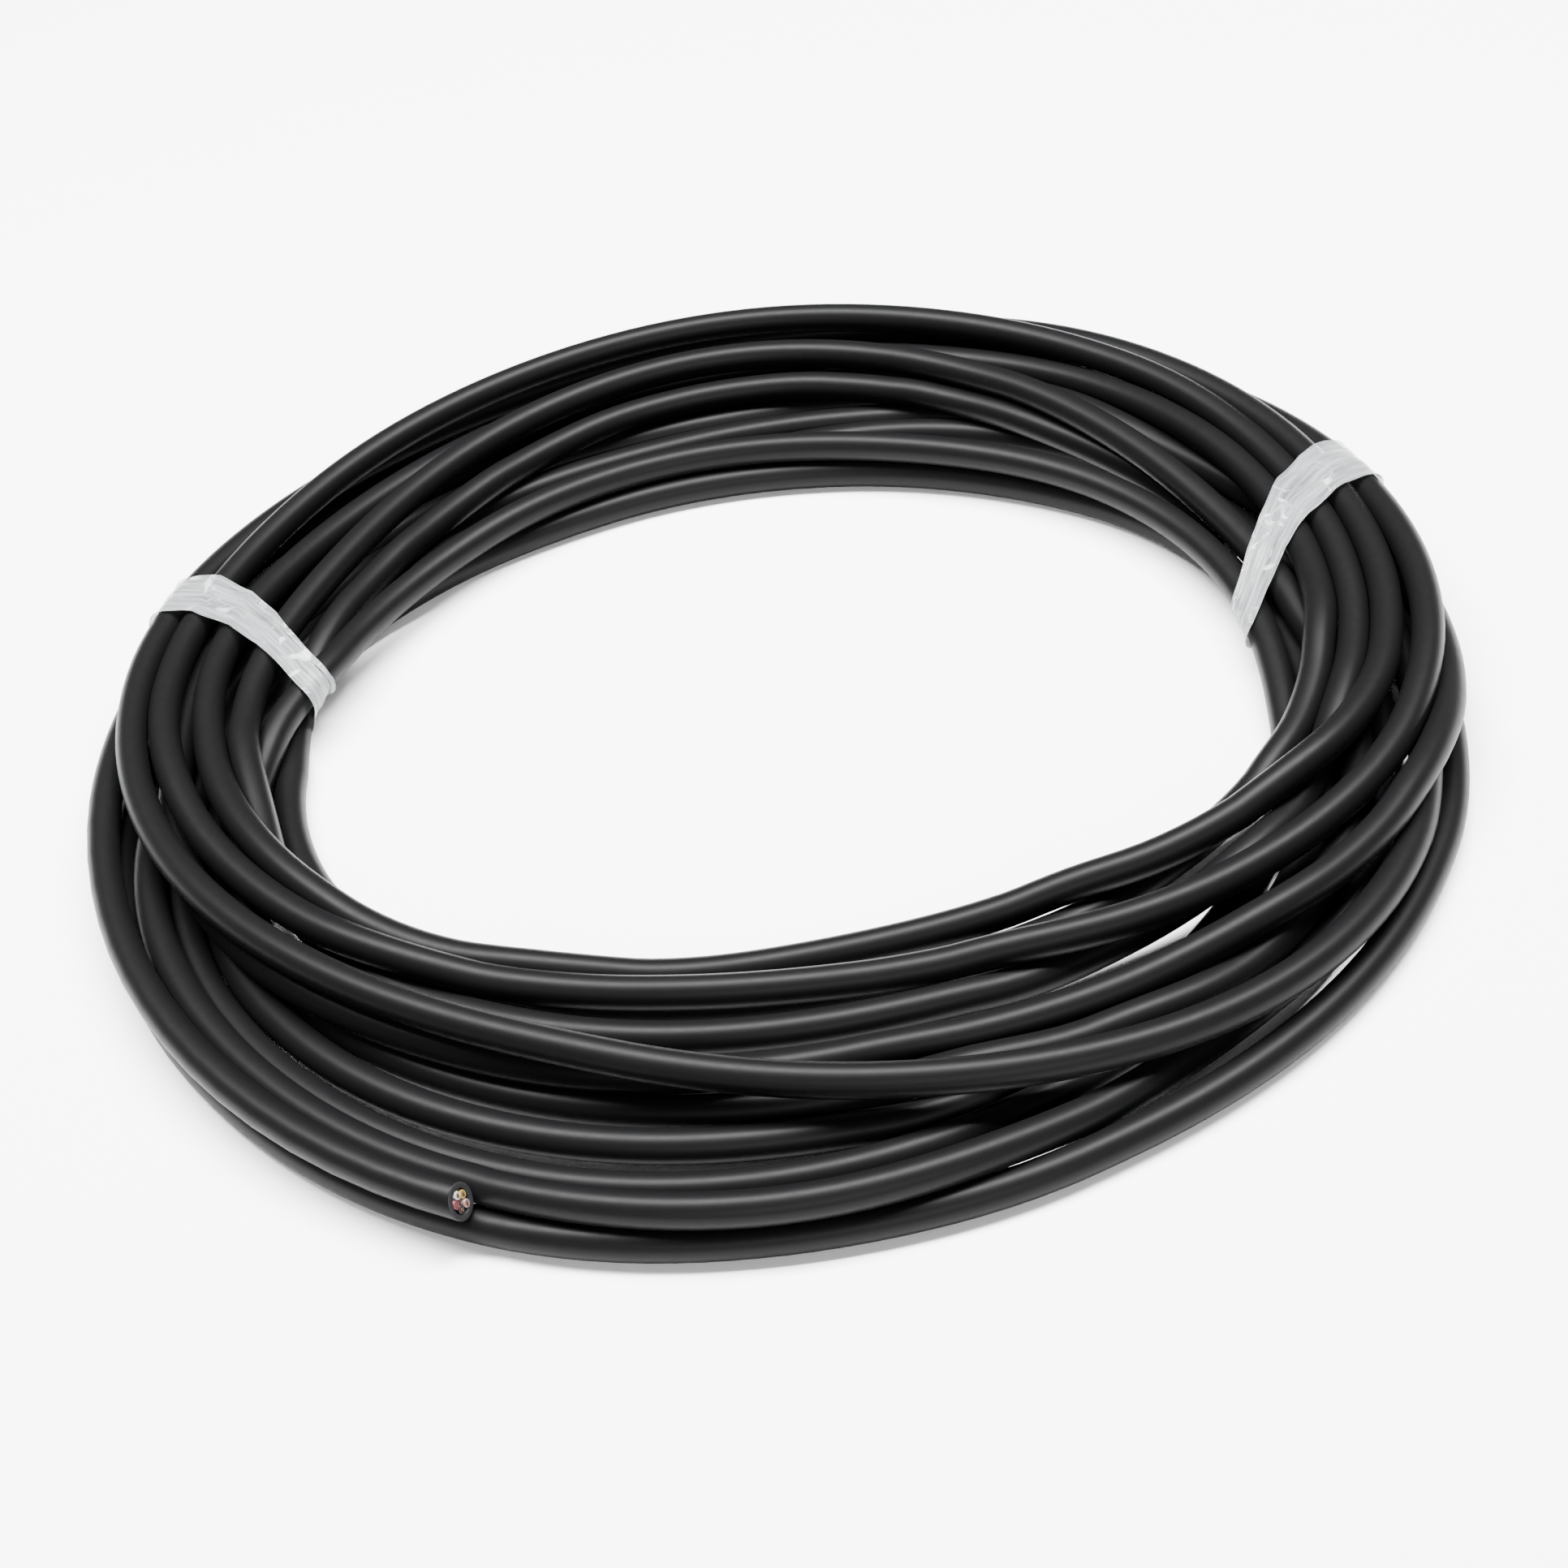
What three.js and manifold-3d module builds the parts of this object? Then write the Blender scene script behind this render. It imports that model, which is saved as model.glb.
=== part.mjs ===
// A coil of round sheathed cable as it lies on a level floor: the bundle of turns, the free end that
// runs round its left front to a square cut, the five cores that show there, and two clear tape ties.
// Millimetres, +Z up, the front towards -Y. The origin is on the floor under the middle of the coil.

import * as THREE from "three";
import { mergeVertices } from "three/addons/utils/BufferGeometryUtils.js";
import Module from "manifold-3d";

const wasm = await Module();
wasm.setup();

// The cable
const CABLE_DIAMETER = 4.0;
const CORE_DIAMETER = 0.9;
const CONDUCTOR_DIAMETER = 0.44;
const STRIPPED_DEPTH = 6.5; // how far in from the cut the cores are separate from the jacket

// The coil: seven turns across and three high where the bundle is neatest
const COIL_OUTER_RADIUS = 84;
const TURNS_ACROSS = 7;
const TURNS_HIGH = 3;
const SIDE_PITCH = 3.05; // from one turn to the next across the bundle, at its tight sides
const SPREAD_PITCH = 4.85; // the same where the turns fan out, at the front and the back
const ROW_PITCH = 3.6; // from one row of turns up to the next
const TURN_FLAT = 1.6; // the flat crest that stands for a turn's round top
const GROOVE_DEPTH = 0.95; // how deep the gap between two turns is cut
const STATION_STEP = 7.5; // degrees from one section of the coil to the next

// The free end: its angle in degrees, how far inside the coil's edge its middle runs, its height
const FREE_END_START = 180;
const FREE_END_ROUTE = [
  [180.35, 2.0, 6.35],
  [184, 2.0, 6.35],
  [188, 2.0, 6.35],
  [192, 1.98, 6.36],
  [196, 1.92, 6.38],
  [200, 1.84, 6.4],
  [204, 1.74, 6.4],
  [208, 1.62, 6.4],
  [212, 1.48, 6.4],
  [216, 1.32, 6.4],
  [220, 1.16, 6.38],
  [224, 0.98, 6.36],
  [228, 0.8, 6.34],
  [232, 0.62, 6.32],
  [236, 0.43, 6.3],
  [239.5, 0.27, 6.3],
  [242.5, 0.14, 6.3],
];
const FREE_END_STEPS = 11;
const CABLE_SIDES = 10;

// The ties: clear tape, wrapped round the bundle at a slant
const TIE_WIDTH = 5.0;
const TIE_THICKNESS = 0.35;
const LEFT_TIE_ANGLE = 156;
const RIGHT_TIE_ANGLE = 20;
const TIE_SLANT = 22; // degrees from square across the bundle
const TIE_PLATEAU = 13; // degrees on either side of a tie where the bundle keeps its tied height
const TIE_FADE = 9; // degrees from there to where the turns lie on the floor again

const GAP = 0.3; // between pieces that touch
const FINE_GAP = 0.06; // between a core and its jacket, and a conductor and its core

const radians = THREE.MathUtils.degToRad;
const smooth = THREE.MathUtils.smoothstep;

const materials = {
  jacket: new THREE.MeshStandardMaterial({ color: 0x17181a, roughness: 0.38, metalness: 0 }),
  tape: new THREE.MeshStandardMaterial({
    color: 0xe8ebec,
    roughness: 0.2,
    metalness: 0,
    transparent: true,
    opacity: 0.45,
  }),
  copper: new THREE.MeshStandardMaterial({ color: 0x9a6a4a, roughness: 0.4, metalness: 1 }),
};

const CORE_COLOURS = {
  white: 0xe9e6e0,
  yellow: 0xd9b84c,
  pink: 0xd7b3b6,
  black: 0x141414,
  red: 0x9c3f4b,
};

// 1 within flat degrees of the place, fading to 0 over the next fade degrees.
function plateau(degreesAway, flat, fade) {
  return 1 - smooth(Math.abs(degreesAway), flat, flat + fade);
}

// The signed angle from one direction to another, in degrees, between -180 and 180.
function turnBetween(from, to) {
  return THREE.MathUtils.euclideanModulo(to - from + 180, 360) - 180;
}

// The bundle's radial width at an angle: narrow at the sides, fanned out at the front and back.
function bundleWidth(degrees) {
  const pitch =
    (SIDE_PITCH + SPREAD_PITCH) / 2 -
    ((SPREAD_PITCH - SIDE_PITCH) / 2) * Math.cos(radians(2 * degrees));
  return CABLE_DIAMETER + (TURNS_ACROSS - 1) * pitch;
}

const BUNDLE_HEIGHT = CABLE_DIAMETER + (TURNS_HIGH - 1) * ROW_PITCH;
const NOMINAL_WIDTH = CABLE_DIAMETER + (TURNS_ACROSS - 1) * SPREAD_PITCH;

// How far a tie lifts the bundle, so that the tape passes under it.
const TIE_LIFT = TIE_THICKNESS + 2 * GAP;
function tieLift(degrees) {
  const near = [LEFT_TIE_ANGLE, RIGHT_TIE_ANGLE].map((tie) =>
    plateau(turnBetween(tie, degrees), TIE_PLATEAU, TIE_FADE),
  );
  return TIE_LIFT * Math.max(...near);
}

// How far inside the coil's edge the free end's middle runs, at an angle along its route.
function freeEndInset(degrees) {
  const next = FREE_END_ROUTE.findIndex((point) => point[0] >= degrees);
  if (next === 0) return FREE_END_ROUTE[0][1];
  if (next < 0) return FREE_END_ROUTE.at(-1)[1];
  const [from, to] = [FREE_END_ROUTE[next - 1], FREE_END_ROUTE[next]];
  return THREE.MathUtils.mapLinear(degrees, from[0], to[0], from[1], to[1]);
}

// How far the upper rows stand back from the coil's edge, where the free end lies on the lowest row.
const FREE_END_STOP = FREE_END_ROUTE.at(-1)[0] + STATION_STEP;
function seatDepth(degrees) {
  const middle = (FREE_END_START + FREE_END_STOP) / 2;
  const half = (FREE_END_STOP - FREE_END_START) / 2;
  const away = turnBetween(middle, degrees);
  const depth = freeEndInset(middle + away) + CABLE_DIAMETER / 2 + 1.5 * GAP;
  return depth * plateau(away, half, STATION_STEP);
}

// The flats and grooves along one face of the section, from the middle of its first turn.
function faceOfTurns(count, pitch) {
  const marks = [];
  for (let i = 0; i < count; i++) {
    const middle = CABLE_DIAMETER / 2 + i * pitch;
    marks.push({ along: middle - TURN_FLAT / 2, depth: 0 });
    marks.push({ along: middle + TURN_FLAT / 2, depth: 0 });
    if (i < count - 1) marks.push({ along: middle + pitch / 2, depth: GROOVE_DEPTH });
  }
  return marks;
}

// The section of the bundle as a closed outline of radius and height, its turns showing all round.
function bundleOutline() {
  const inner = COIL_OUTER_RADIUS - NOMINAL_WIDTH;
  const outer = COIL_OUTER_RADIUS;
  const across = faceOfTurns(TURNS_ACROSS, SPREAD_PITCH);
  const upwards = faceOfTurns(TURNS_HIGH, ROW_PITCH);
  const outline = [
    ...across.map((m) => new THREE.Vector2(inner + m.along, m.depth)),
    ...upwards.map((m) => new THREE.Vector2(outer - m.depth, m.along)),
    ...across.map((m) => new THREE.Vector2(outer - m.along, BUNDLE_HEIGHT - m.depth)),
    ...upwards.map((m) => new THREE.Vector2(inner + m.depth, BUNDLE_HEIGHT - m.along)),
  ];
  outline.push(outline[0].clone());
  return outline;
}

// The coil is a turned ring, whose section then takes its own width, seat and lift at each angle.
function makeCoil() {
  const stations = Math.round(360 / STATION_STEP);
  const geometry = new THREE.LatheGeometry(bundleOutline(), stations).rotateX(Math.PI / 2);
  const position = geometry.getAttribute("position");
  const upperRows = (CABLE_DIAMETER + ROW_PITCH) / 2 + GAP;
  const place = new THREE.Vector3();
  for (let i = 0; i < position.count; i++) {
    place.fromBufferAttribute(position, i);
    const degrees = THREE.MathUtils.radToDeg(Math.atan2(place.y, place.x));
    const inFromEdge = COIL_OUTER_RADIUS - Math.hypot(place.x, place.y);
    const seat = place.z > upperRows ? seatDepth(degrees) : 0;
    const width = bundleWidth(degrees) - seat;
    const radius = COIL_OUTER_RADIUS - seat - (inFromEdge * width) / NOMINAL_WIDTH;
    const lift = tieLift(degrees);
    const height = lift + place.z * (1 - lift / BUNDLE_HEIGHT);
    const angle = radians(degrees);
    position.setXYZ(i, radius * Math.cos(angle), radius * Math.sin(angle), height);
  }
  return geometry;
}

// A three.js geometry as a solid that can be cut, and back again.
function toSolid(geometry) {
  const bare = geometry.clone();
  bare.deleteAttribute("normal");
  bare.deleteAttribute("uv");
  const merged = mergeVertices(bare, 1e-4);
  return new wasm.Manifold(
    new wasm.Mesh({
      numProp: 3,
      vertProperties: new Float32Array(merged.getAttribute("position").array),
      triVerts: new Uint32Array(merged.index.array),
    }),
  );
}

function toGeometry(solid) {
  const mesh = solid.getMesh();
  const geometry = new THREE.BufferGeometry();
  geometry.setAttribute("position", new THREE.BufferAttribute(mesh.vertProperties, 3));
  geometry.setIndex(new THREE.BufferAttribute(mesh.triVerts, 1));
  geometry.computeVertexNormals();
  return geometry;
}

// The free end's middle line, and its straight last stretch where the cores lie.
const freeEndPoints = FREE_END_ROUTE.map(([degrees, inFromEdge, height]) => {
  const radius = COIL_OUTER_RADIUS - inFromEdge;
  const angle = radians(degrees);
  return new THREE.Vector3(radius * Math.cos(angle), radius * Math.sin(angle), height);
});
const freeEndLine = new THREE.CatmullRomCurve3(freeEndPoints);
const cutCentre = freeEndLine.getPointAt(1);
const lastJoint = freeEndLine.getPointAt(1 - 1 / FREE_END_STEPS);
const cutDirection = cutCentre.clone().sub(lastJoint).normalize();

// Turns a group so that its +Z runs out of the cut, with its origin at the cut's middle.
function atTheCut(group) {
  const inwards = new THREE.Vector3(-cutCentre.x, -cutCentre.y, 0);
  const side = new THREE.Vector3().crossVectors(cutDirection, inwards).normalize();
  const up = new THREE.Vector3().crossVectors(cutDirection, side);
  group.matrix.makeBasis(side, up, cutDirection).setPosition(cutCentre);
  group.matrix.decompose(group.position, group.quaternion, group.scale);
  return group;
}

const CORES = Object.keys(CORE_COLOURS);
const corePitchRadius = (CORE_DIAMETER + FINE_GAP) / (2 * Math.sin(Math.PI / CORES.length));
const pocketRadius = corePitchRadius + CORE_DIAMETER / 2 + FINE_GAP;

// A plain cylinder along +Z that ends at the given height.
function rod(diameter, length, top, sides) {
  return new THREE.CylinderGeometry(diameter / 2, diameter / 2, length, sides)
    .rotateX(Math.PI / 2)
    .translate(0, 0, top - length / 2);
}

function makeFreeEnd() {
  const section = new THREE.Shape();
  section.absarc(0, 0, CABLE_DIAMETER / 2, 0, 2 * Math.PI);
  const jacket = new THREE.ExtrudeGeometry(section, {
    steps: FREE_END_STEPS,
    curveSegments: CABLE_SIDES,
    extrudePath: freeEndLine,
  });
  const mouth = CABLE_DIAMETER; // the cutting tool's run past the cut
  const pocket = new THREE.Mesh(
    rod(2 * pocketRadius, STRIPPED_DEPTH + mouth, mouth, 2 * CABLE_SIDES),
  );
  const holder = atTheCut(new THREE.Group());
  holder.add(pocket);
  holder.updateMatrixWorld(true);
  const cutter = pocket.geometry.applyMatrix4(pocket.matrixWorld);
  return toGeometry(toSolid(jacket).subtract(toSolid(cutter)));
}

// A core's insulation, with the blind bore that its conductor fills.
function makeInsulation() {
  const outer = CORE_DIAMETER / 2;
  const bore = CONDUCTOR_DIAMETER / 2 + FINE_GAP / 2;
  const bottom = FINE_GAP - STRIPPED_DEPTH;
  const floor = bottom + CORE_DIAMETER;
  const profile = [
    [0, bottom],
    [outer, bottom],
    [outer, 0],
    [bore, 0],
    [bore, floor],
    [0, floor],
  ].map(([radius, height]) => new THREE.Vector2(radius, height));
  return new THREE.LatheGeometry(profile, 12).rotateX(Math.PI / 2);
}

function makeConductor() {
  const depth = STRIPPED_DEPTH - CORE_DIAMETER - 2 * FINE_GAP;
  return rod(CONDUCTOR_DIAMETER, depth, 0, 8);
}

// The five cores in a ring inside the jacket, clockwise from the top as the cut is looked at.
function addCores(part) {
  const cut = atTheCut(new THREE.Group());
  CORES.forEach((colour, i) => {
    const angle = Math.PI / 2 - (i * 2 * Math.PI) / CORES.length;
    const core = new THREE.Group();
    core.position.set(corePitchRadius * Math.cos(angle), corePitchRadius * Math.sin(angle), 0);
    const plastic = new THREE.MeshStandardMaterial({ color: CORE_COLOURS[colour], roughness: 0.5 });
    core.add(named("core_" + colour, makeInsulation(), plastic));
    core.add(named("conductor_" + colour, makeConductor(), materials.copper));
    cut.add(core);
  });
  part.add(cut);
}

// A rectangle with round corners about the origin, drawn into a shape or a hole.
function roundedRectangle(path, width, height, corner) {
  const x = width / 2 - corner;
  const y = height / 2 - corner;
  path.absarc(x, y, corner, 0, Math.PI / 2);
  path.absarc(-x, y, corner, Math.PI / 2, Math.PI);
  path.absarc(-x, -y, corner, Math.PI, 1.5 * Math.PI);
  path.absarc(x, -y, corner, 1.5 * Math.PI, 2 * Math.PI);
  path.closePath();
  return path;
}

// A band of tape round the bundle. Its inner end leans forward by the slant, on both sides alike.
function makeTie(degrees) {
  const width = bundleWidth(degrees);
  const lean = Math.tan(radians(TIE_SLANT));
  const reach = (lean * width) / 2 + TIE_WIDTH / 2;
  const inner = COIL_OUTER_RADIUS - width;
  const curve = inner - Math.sqrt(inner ** 2 - reach ** 2);
  const inside = width + 2 * GAP + curve;
  const tall = BUNDLE_HEIGHT - TIE_LIFT + 2 * GAP;
  const corner = CABLE_DIAMETER / 2 - TURN_FLAT / 2 + GAP;
  const band = roundedRectangle(
    new THREE.Shape(),
    inside + 2 * TIE_THICKNESS,
    tall + 2 * TIE_THICKNESS,
    corner + TIE_THICKNESS,
  );
  band.holes.push(roundedRectangle(new THREE.Path(), inside, tall, corner));
  const frontwards = Math.cos(radians(degrees)) > 0 ? -1 : 1;
  const slant = new THREE.Matrix4().makeShear(0, frontwards * lean, 0, 0, 0, 0);
  return new THREE.ExtrudeGeometry(band, { depth: TIE_WIDTH, bevelEnabled: false, curveSegments: 3 })
    .translate(0, 0, -TIE_WIDTH / 2)
    .applyMatrix4(slant)
    .rotateX(Math.PI / 2)
    .translate(COIL_OUTER_RADIUS - (width + curve) / 2, 0, TIE_LIFT + (BUNDLE_HEIGHT - TIE_LIFT) / 2)
    .rotateZ(radians(degrees));
}

function named(name, geometry, material) {
  const mesh = new THREE.Mesh(geometry, material);
  mesh.name = name;
  return mesh;
}

const part = new THREE.Group();
part.add(named("cable_coil", makeCoil(), materials.jacket));
part.add(named("cable_free_end", makeFreeEnd(), materials.jacket));
addCores(part);
part.add(named("tie_left", makeTie(LEFT_TIE_ANGLE), materials.tape));
part.add(named("tie_right", makeTie(RIGHT_TIE_ANGLE), materials.tape));

export default part;
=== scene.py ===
import math

import bpy
import numpy as np
from mathutils import Matrix, Vector


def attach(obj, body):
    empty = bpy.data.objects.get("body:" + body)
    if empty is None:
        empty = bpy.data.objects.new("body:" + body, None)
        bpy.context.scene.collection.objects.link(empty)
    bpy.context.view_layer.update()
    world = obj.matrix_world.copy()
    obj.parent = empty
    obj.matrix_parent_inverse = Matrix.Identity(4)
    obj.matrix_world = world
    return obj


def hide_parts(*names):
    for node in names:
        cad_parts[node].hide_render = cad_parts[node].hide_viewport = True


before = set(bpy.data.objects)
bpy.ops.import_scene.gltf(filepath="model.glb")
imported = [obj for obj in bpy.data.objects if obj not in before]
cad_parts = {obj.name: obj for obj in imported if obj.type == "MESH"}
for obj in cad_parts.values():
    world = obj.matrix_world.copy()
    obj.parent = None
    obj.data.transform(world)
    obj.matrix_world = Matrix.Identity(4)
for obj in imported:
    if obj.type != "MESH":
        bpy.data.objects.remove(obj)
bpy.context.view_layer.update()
MM = 0.001

# The camera, fitted to the coil's outline
CAM_ELEVATION = math.radians(40.0)
CAM_ROLL = math.radians(-8.5)
CAM_DISTANCE = 0.3392
CAM_TARGET = Vector((0.0008, -0.01336, 0.004))
CAM_BACK = (0.0, -math.cos(CAM_ELEVATION), math.sin(CAM_ELEVATION))
SENSOR_MM = 36.0
LENS_MM = 64.9

# The cable's lay: millimetres and degrees. A station is a place where passes are compared, every STEP degrees.
CABLE = 4.0
COIL_EDGE = 84.0
STEP = 2
START = 242
FREE_ENDS_AT = 180
UNDER_FIRST_TIE = (170, 82.1, 6, 0)
SEEN_PLANE = 6.0

# The free end's route along the coil's edge: angle, inset from the coil's edge, height
FREE_END_ROUTE = [
    (180.35, 2.0, 6.35), (184, 2.0, 6.35), (188, 2.0, 6.35), (192, 1.98, 6.36), (196, 1.92, 6.38),
    (200, 1.84, 6.4), (204, 1.74, 6.4), (208, 1.62, 6.4), (212, 1.48, 6.4), (216, 1.32, 6.4),
    (220, 1.16, 6.38), (224, 0.98, 6.36), (228, 0.8, 6.34), (232, 0.62, 6.32), (236, 0.43, 6.3),
    (239.5, 0.27, 6.3), (242.5, 0.14, 6.3),
]

# Each pass of the cable between the two ties, as knots of angle, radius and height. A knot that shows from
# the front gives the radius at which it is seen against a plane 6 mm up. One that lies hidden has a 0 after
# it, and its own radius.
FRONT = {
    "S1": [(156, 77.6, 9), (170, 71.2, 9), (180, 67.2, 9), (190, 63.8, 9), (200, 61.2, 8), (215, 57, 6.6),
           (230, 52.5, 5), (240, 49.8, 4), (250, 47.6, 2.5), (260, 46.1, 2), (270, 45, 2), (280, 45.3, 2),
           (290, 46.3, 2.5), (300, 48.2, 3), (310, 51.5, 4), (320, 56.2, 5.5), (330, 62.6, 7.5),
           (340, 69.5, 9), (350, 74.6, 9), (360, 78, 9), (368, 80, 9), (380, 82, 9)],
    "S2": [(156, 82.8, 9), (170, 77.5, 9), (180, 73.5, 9), (190, 69.2, 9), (200, 64.2, 9), (210, 60.4, 8),
           (220, 57, 7), (230, 53.8, 6), (240, 51.3, 5.5), (250, 49.9, 5), (260, 49.2, 5), (270, 49.1, 4.5),
           (280, 49.8, 4.5), (290, 51.9, 5), (300, 55.9, 6), (310, 60.6, 7), (320, 65.4, 8), (330, 71, 9),
           (340, 76.9, 9), (350, 81.2, 9), (360, 83.3, 9), (368, 84.3, 9), (380, 85.3, 9)],
    "H1": [(156, 62.8, 5.5, 0), (164, 62, 4, 0), (172, 62.8, 2.4, 0), (180, 65.3, 2, 0), (188, 65.2, 2, 0),
           (196, 62.5, 2, 0), (205, 59.5, 2), (212, 58, 2), (220, 56.5, 2), (230, 55, 2), (240, 54, 2),
           (250, 53.2, 2), (260, 52.4, 2), (270, 52.2, 2), (280, 52.4, 2), (290, 53, 2), (300, 54.2, 2),
           (310, 55.4, 2), (320, 57.4, 2), (332, 62.2, 4), (340, 65, 5), (350, 67.3, 6), (360, 69.4, 8),
           (368, 71, 9), (380, 74.5, 9)],
    "S3": [(156, 70, 9), (160, 69, 8), (170, 66.3, 7), (180, 64, 6), (190, 63, 5.5), (200, 63, 5.5),
           (210, 62.5, 5.5), (220, 61.5, 5.5), (230, 60, 5), (240, 58.6, 5), (250, 57.5, 5), (260, 56.7, 5),
           (270, 56.1, 5), (280, 56.7, 5), (290, 57.4, 5), (300, 59.4, 5), (310, 62.4, 5), (318, 65.2, 5),
           (330, 66.5, 5), (342, 69.3, 6), (350, 71.3, 7), (360, 73.3, 8.5), (368, 75.3, 9), (380, 78, 9)],
    "S4": [(156, 74, 5.5, 0), (175, 74.5, 5.5, 0), (190, 73.5, 6), (200, 71.9, 6), (210, 69, 6),
           (220, 66.8, 6), (230, 64.9, 6), (240, 63.8, 6), (250, 64.2, 5, 0), (260, 62.6, 4.5, 0),
           (270, 61.3, 5.5), (280, 61.9, 5.5), (290, 63.6, 6), (300, 66.1, 6), (310, 69.4, 7),
           (320, 73.2, 8), (330, 78.2, 8), (340, 81.2, 8), (352, 82.8, 7), (360, 83, 6), (370, 82, 5.5, 0),
           (380, 79, 5.5, 0)],
    "X": [(156, 86, 9.5), (170, 81.8, 9.5), (180, 78.2, 9.5), (190, 74, 9.5), (200, 69.8, 9),
          (210, 66.2, 9), (220, 63.2, 9), (230, 60.9, 9), (240, 59.6, 9), (250, 59.8, 9), (260, 61.7, 9),
          (270, 64.2, 9), (280, 67.3, 9), (290, 71.3, 9), (300, 76.5, 8), (310, 80.2, 7), (320, 81.9, 6.5),
          (330, 82, 6), (338, 81.4, 5.5), (348, 79.5, 4.5, 0), (362, 78, 5, 0), (380, 74.3, 5.5, 0)],
    "K2": [(156, 59.2, 5.4, 0), (166, 62.6, 5.4, 0), (176, 66.5, 5.4, 0), (185, 69, 5.2, 0),
           (195, 69.6, 4, 0), (206, 71, 3), (220, 69.9, 3), (230, 69, 3), (240, 68.4, 3), (250, 67.8, 3),
           (260, 67, 3), (270, 66.4, 3), (280, 67, 3), (290, 69, 4), (300, 71.5, 5), (310, 75.1, 5),
           (320, 77.3, 5), (330, 76, 4, 0), (345, 70, 5, 0), (355, 66.3, 7), (364, 65.8, 7),
           (372, 65.5, 7, 0), (380, 64.6, 7.5, 0)],
    "K3": [(156, 62.5, 2, 0), (164, 65.5, 2, 0), (172, 68, 2, 0), (181, 70, 2, 0), (202, 70.5, 2, 0),
           (220, 74, 3), (240, 73.7, 3), (250, 73.2, 3), (260, 72.8, 3), (270, 72, 3), (280, 71.5, 3),
           (290, 72.5, 3), (300, 65.5, 2, 0), (315, 63.4, 2, 0), (330, 63.8, 2, 0), (345, 65.5, 2, 0),
           (360, 64.5, 4.5, 0), (380, 61.9, 5.5, 0)],
    "K4": [(156, 66.6, 2, 0), (164, 69.3, 2, 0), (175, 73.5, 2, 0), (190, 74, 2, 0), (204, 76, 2),
           (222, 78, 2), (240, 79.3, 2), (256, 79.3, 2), (270, 78.3, 2), (282, 76.1, 2), (290, 75.5, 2),
           (303, 71, 2, 0), (325, 71, 2, 0), (345, 68.5, 2, 0), (360, 65, 2, 0), (380, 62.8, 2.2, 0)],
    "K5": [(156, 70.7, 2, 0), (175, 77.3, 2, 0), (192, 77, 4), (200, 78, 5), (210, 79, 5), (220, 79.7, 4.6),
           (230, 80.7, 4.3), (240, 81.7, 4.3), (250, 82.3, 4.3), (260, 82.5, 4.3), (270, 82.2, 4.3),
           (280, 81.5, 4), (290, 79.8, 3), (300, 78, 2), (311, 74, 2, 0), (335, 76, 2, 0), (360, 72, 2, 0),
           (380, 70, 2, 0)],
    "S10": [(156, 77, 2, 0), (180, 81.5, 2, 0), (205, 82, 2, 0), (220, 83.2, 2), (226, 84.3, 2), (240, 86, 2),
            (250, 86.1, 2), (260, 85.7, 2), (270, 84.9, 2), (283, 83.9, 2), (295, 84.3, 2), (310, 85.3, 2),
            (320, 85.2, 2), (330, 84.1, 2), (342, 82.1, 2), (360, 81.5, 2, 0), (380, 81.5, 2.4, 0)],
}
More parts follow.
